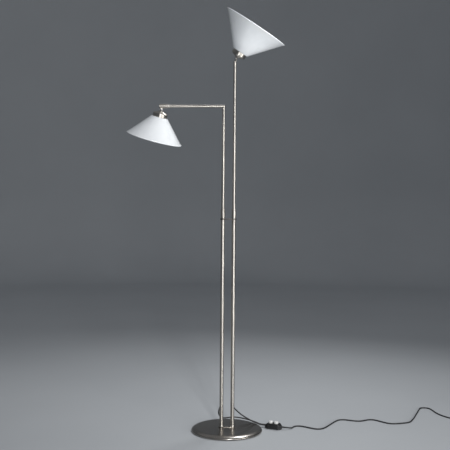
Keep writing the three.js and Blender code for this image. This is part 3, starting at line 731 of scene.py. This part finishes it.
def hinge_hardware(side, body, at):
    """The slotted screw and hex nut that pinch the eyes of a hinge."""
    head = [
        (0, -8.6), (3, -8.6, 1.0), (4.2, -7.4, 0.6), (4.2, -5.8, 0.2), (1.9, -5.8), (1.9, 8.6, 0.4), (0, 8.6),
    ]
    screw = lathed(f"{side}_hinge_screw_fine", head, 40)
    slot = block("slot", box_planes((-6, 6), (-0.5, 0.5), (-10, -7.7)), 0.05, 1)
    combined(screw, "DIFFERENCE", slot)
    shifted(screw, turn(-90, "X"))
    placed(screw, body, STEEL, [f"{side}_hinge_screw"], at)
    corners = arc((0, 0), 4.15, 0, 2 * math.pi, 7)[:-1]
    hole = arc((0, 0), 1.95, 0, 2 * math.pi, 33)[:-1]
    nut = plate(f"{side}_hinge_nut_fine", [corners, hole], 5.8, 8.4, 0.35)
    shifted(nut, turn(-90, "X"))
    placed(nut, body, STEEL, [f"{side}_hinge_nut"], at)


def add_head(side, at, body):
    """A lamp head, hung on its hinge pin at the origin with the mouth towards +Z."""
    knuckle = eye(f"{side}_head_knuckle_fine", 1)
    stem = block("stem", box_planes((-3.5, 3.5), (0.3, 5.5), (0, 7)), 0.6, 3)
    disc = [(0, 5.9), (8.4, 5.9, 0.5), (9, 6.6, 0.5), (9, 7.6, 0.3), (2.9, 7.6, 0.2), (2.9, 11.4), (0, 11.4)]
    combined(knuckle, "UNION", stem, lathed("boss", disc, 48))
    placed(knuckle, body, NICKEL, [f"{side}_head_knuckle"], at)

    outside = [
        (3.2, 7.9, 0.2), (9.5, 7.9, 1.2), (28.2, 14.2, 5), (31, 17.2, 3.5),
        (31, 30.9, 0.5), (31.2, 31.4, 0.4), (30.8, 31.7, 0.2),
    ]
    inside = [(30.1, 31.7, 0.2), (30, 17.8, 2.5), (27.8, 15.2, 4), (9.3, 9, 1), (3.2, 9, 0.2)]
    cap = lathed(f"{side}_head_cap_fine", [*outside, *inside], 128, ring=True)
    placed(cap, body, NICKEL, [f"{side}_head_cap"], at)

    thread = [(13.4 if k % 2 else 12.7, 36.2 + 0.75 * k, 0.3) for k in range(14)]
    barrel = [
        (0, 12), (11, 12, 1), (13.4, 14.5, 0.8), (13.4, 35.6, 0.3), *thread,
        (13, 48, 0.5), (7.7, 48, 0.4), (7.7, 22), (0, 22),
    ]
    holder = lathed(f"{side}_lampholder_fine", barrel, 64)
    placed(holder, body, PHENOLIC, [f"{side}_lampholder"], at)

    band = [(13.75, 35.3, 0.3), (20, 35.3, 0.5), (20, 39.3, 0.6), (13.75, 39.3, 0.4)]
    ring = lathed(f"{side}_shade_ring_fine", band, 144, ring=True, wave=knurl)
    placed(ring, body, PHENOLIC, [f"{side}_shade_ring"], at)
    shade = shifted(glass_cone(side), at)
    placed(shade, body, OPAL, [f"{side}_glass_shade"])

    throat = [(0, 23), (4, 23, 0.8), (6.9, 26, 1), (6.9, 47.5, 1.5), (8.5, 51.2, 1.2)]
    ball = arc((0, 72), 22.5, -math.acos(8.7 / 22.5), math.pi / 2, 30)
    bulb = lathed(f"{side}_bulb_fine", [*throat, *ball[:-1], (0, 94.5)], 72)
    placed(bulb, body, BULB, [f"{side}_bulb"], at)


def knurl(angle, radius, _):
    """Scallops round the outside of a shade ring, which leave its bore round."""
    return radius - 0.55 * (0.5 + 0.5 * math.cos(24 * angle)) if radius > 18 else radius


def glass_cone(side):
    """The opal glass: a flat neck with a rounded corner, a straight cone and a fire-polished rim bead."""
    height, rim_r = SHADES[side]
    slope = math.atan2(rim_r - NECK_R, height)
    rim = NECK + height
    centre, bead = (rim_r - 1.8, rim - 2.05), 2.05
    out = arc(centre, bead, -slope, math.pi - slope, 17)
    inner = GLASS / math.cos(slope)

    def cone(z, inset=0.0):
        return (NECK_R - inset + (z - NECK) * math.tan(slope), z)

    outside = [(14.5, NECK, 0.6), (NECK_R, NECK, 3.2), cone(rim * 0.5 + NECK * 0.5), cone(rim - 8)]
    inside = [
        cone(rim - 8, inner), cone(rim * 0.5 + NECK * 0.5, inner), (*cone(NECK + GLASS, inner), 3),
        (14.5, NECK + GLASS, 0.6),
    ]
    return lathed(f"{side}_glass_shade_fine", [*outside, *out, *inside], 192, ring=True)


def add_uplight():
    pole_turn = turn(UPLIGHT_AZIMUTH, "Z")
    at = joint_place("bowl_tilt") @ pole_turn
    tube = pipe("right_inner_tube_fine", INNER_R, INNER_BORE, TUBE_LOW, RIGHT_TUBE_TOP)
    placed(tube, "right_pole", NICKEL, ["right_inner_tube"], move(POLE_X, 0, 0))
    z = RIGHT_TUBE_TOP - BOWL_HINGE_Z
    dome = [
        (0, z - 12), (5.2, z - 12, 0.5), (5.2, z + 0.3), (INNER_R, z + 0.3, 0.3),
        (INNER_R, z + 4.4, 1.2), (4.9, z + 6.2, 0.8), (0, z + 6.3),
    ]
    knuckle = shifted(lathed("right_pole_knuckle_fine", dome, 48), move(-4, 0, 0))
    stem = block("stem", box_planes((-4.5, 2.5), (-5.5, -0.3), (-11, 0)), 0.6, 3)
    combined(knuckle, "UNION", stem, eye("eye", -1))
    placed(knuckle, "right_pole", NICKEL, ["right_pole_knuckle"], at)
    hinge_hardware("right", "right_pole", at)
    add_head("right", at @ turn(UPLIGHT_TILT, "Y"), "right_head")


def add_reading_lamp():
    at = joint_place("reading_tilt") @ turn(READING_ROLL, "X")
    axis = move(-6, 0, 14.5) @ turn(90, "Y")  # from the hinge to the sleeve's outer end, on the arm's axis
    outline = [(6.85, 0, 0.2), (8.5, 0, 0.3), (8.5, 36.7, 0.6), (7.5, 38.7, 0.8), (6.85, 38.7, 0.2)]
    barrel = lathed("left_swivel_sleeve_fine", outline, 64, ring=True)
    shifted(barrel, axis)
    stem = block("stem", box_planes((-4, 4), (-5.5, -0.3), (0, 7.9)), 0.6, 3)
    combined(barrel, "UNION", stem, eye("eye", -1))
    shifted(barrel, axis.inverted())
    placed(barrel, "left_swivel", NICKEL, ["left_swivel_sleeve"], at @ axis)
    disc = [(0, -3), (7.3, -3, 0.6), (8.5, -2, 0.7), (8.5, -0.3, 0.2), (6.4, -0.3), (6.4, 3.4), (0, 3.4)]
    cap = lathed("left_sleeve_cap_fine", disc, 64)
    placed(cap, "left_swivel", NICKEL, ["left_sleeve_cap"], at @ axis)
    hinge_hardware("left", "left_swivel", at)
    add_head("left", at @ turn(180 + READING_TILT, "Y"), "left_head")


# ---------------------------------------------------------------- foot switch
def switch_ring(z, inset):
    """The switch's plan outline at a height: clipped corners, and ends that slope in above 14 mm.

    The ends slope on the plane 0.6 x + 0.8 z = 32.8, and the corners are cut on 0.6 x + 0.8 y = 28.
    """
    half_long = min(36, (32.8 - 0.8 * z) / 0.6) - (0.5 if z > 14 else 1) * inset
    half_wide = 17 - inset
    clip_x = min((28 - inset - 0.8 * half_wide) / 0.6, half_long - 1)
    clip_y = min((28 - inset - 0.6 * half_long) / 0.8, half_wide - 1)
    corners = [(clip_x, half_wide), (half_long, clip_y), (half_long, -clip_y), (clip_x, -half_wide)]
    corners += [(-x, -y) for x, y in corners]
    outline = filleted([(x, -y, 3) for x, y in corners], steps=5, closed=True)
    return [(x, y, z) for x, y in outline]


def switch_shell(name, bottom, top, low_edge, high_edge):
    """A part of the switch's shell between two heights, with its lower and upper edges rounded."""
    turns = np.linspace(0, math.pi / 2, 6)
    levels = [(bottom + low_edge * (1 - math.sin(a)), low_edge * (1 - math.cos(a))) for a in turns[::-1]]
    levels += [(14, 0)] if bottom < 14 < top else []
    levels += [(top - high_edge * (1 - math.sin(a)), high_edge * (1 - math.cos(a))) for a in turns]
    return skinned(name, [switch_ring(*level) for level in levels])


def add_switch():
    at = switch_matrix()
    tray = switch_shell("switch_tray_fine", 0, 10.95, 1.5, 0.3)
    placed(tray, "frame", BLACK_PLASTIC, ["switch_base"], at)
    lid = switch_shell("switch_lid_fine", 11.35, 23, 0.3, 2.4)
    well = [(0, 5), (9.5, 5), (9.5, 40), (0, 40)]
    wells = [shifted(lathed("well", well), move(x, 0, 0)) for x in BUTTONS.values()]
    combined(lid, "DIFFERENCE", *wells)
    placed(lid, "frame", BLACK_PLASTIC, ["switch_cover"], at)
    for side, x in BUTTONS.items():
        crown = [(0, 17.6), (8.2, 17.6, 0.3), (9, 18.2, 0.3), (9, 30.9, 1.7), (6.5, 32.2, 2.5), (0, 32.3)]
        button = lathed(f"{side}_lamp_button_fine", crown)
        nodes = [f"{side}_lamp_button"]
        placed(button, f"{side}_button", WHITE_PLASTIC, nodes, at @ move(x, 0, 0))


# ---------------------------------------------------------------- stage
def backdrop():
    """A plain pale floor that curves up into a round studio wall."""
    bend = arc((7.5, 1.5), 1.5, -math.pi / 2, 0, 20)
    profile = [(0.5 * k, 0) for k in range(1, 15)] + bend + [(9, 7)]
    sides = 96
    points = [(0, 0, 0)]
    for r, z in profile:
        points += [(x, y, z) for x, y in arc((0, 0), r, 0, 2 * math.pi, sides + 1)[:-1]]
    faces = [(0, 1 + k, 1 + (k + 1) % sides) for k in range(sides)]
    for i in range(len(profile) - 1):
        low, high = 1 + i * sides, 1 + (i + 1) * sides
        for k in range(sides):
            n = (k + 1) % sides
            faces.append((low + k, high + k, high + n, low + n))
    mesh = bpy.data.meshes.new("backdrop")
    mesh.from_pydata(points, [], faces)
    mesh.shade_smooth()
    sheet = link_object("backdrop", mesh)
    paint = mottled("studio", (0.5, 0.525, 0.55), (0.53, 0.555, 0.58), 0.7, 0.8, 0.7, 30, 0.0002)
    mesh.materials.append(paint)


def softbox(name, place, target, size, watts, colour=(1, 1, 1)):
    """A gridded area light of size (width, height) that faces the target and spares the floor near it."""
    light = bpy.data.lights.new(name, "AREA")
    light.shape, light.size, light.size_y = "RECTANGLE", *size
    light.energy, light.color, light.spread = watts, colour, math.radians(100)
    made = link_object(name, light)
    made.location = place
    made.rotation_euler = (Vector(target) - Vector(place)).to_track_quat("-Z", "Y").to_euler()
    made.visible_camera = False


def studio():
    backdrop()
    softbox("front", (0.5, -3.25, 1.7), (0, 0, 1.4), (0.3, 2.4), 24)
    softbox("side", (1.8, -2.6, 0.9), (0, 0, 1.6), (1.0, 1.2), 9.5, (1, 0.99, 0.97))
    softbox("low", (2.4, -1.5, 0.5), (0, 0, 1.75), (1.0, 0.7), 13, (1, 0.99, 0.97))
    softbox("back", (0.9, 1.4, 3.0), (0, 0, 0), (0.8, 0.6), 11)
    world = bpy.data.worlds.new("studio")
    world.use_nodes = True
    world.node_tree.nodes["Background"].inputs["Color"].default_value = (0.22, 0.225, 0.235, 1)
    bpy.context.scene.world = world
    bpy.context.scene.view_settings.view_transform = "Standard"


def dress_cad():
    """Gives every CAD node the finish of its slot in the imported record."""
    for part in frame["record"]["subparts"]:
        materials = frame["nodes"][part["node"]].data.materials
        materials.clear()
        materials.append(SLOT_FINISH[part["material_slot"]])


dress_cad()
add_cords()
add_switch()
add_base()
add_poles()
add_arm()
add_uplight()
add_reading_lamp()
studio()
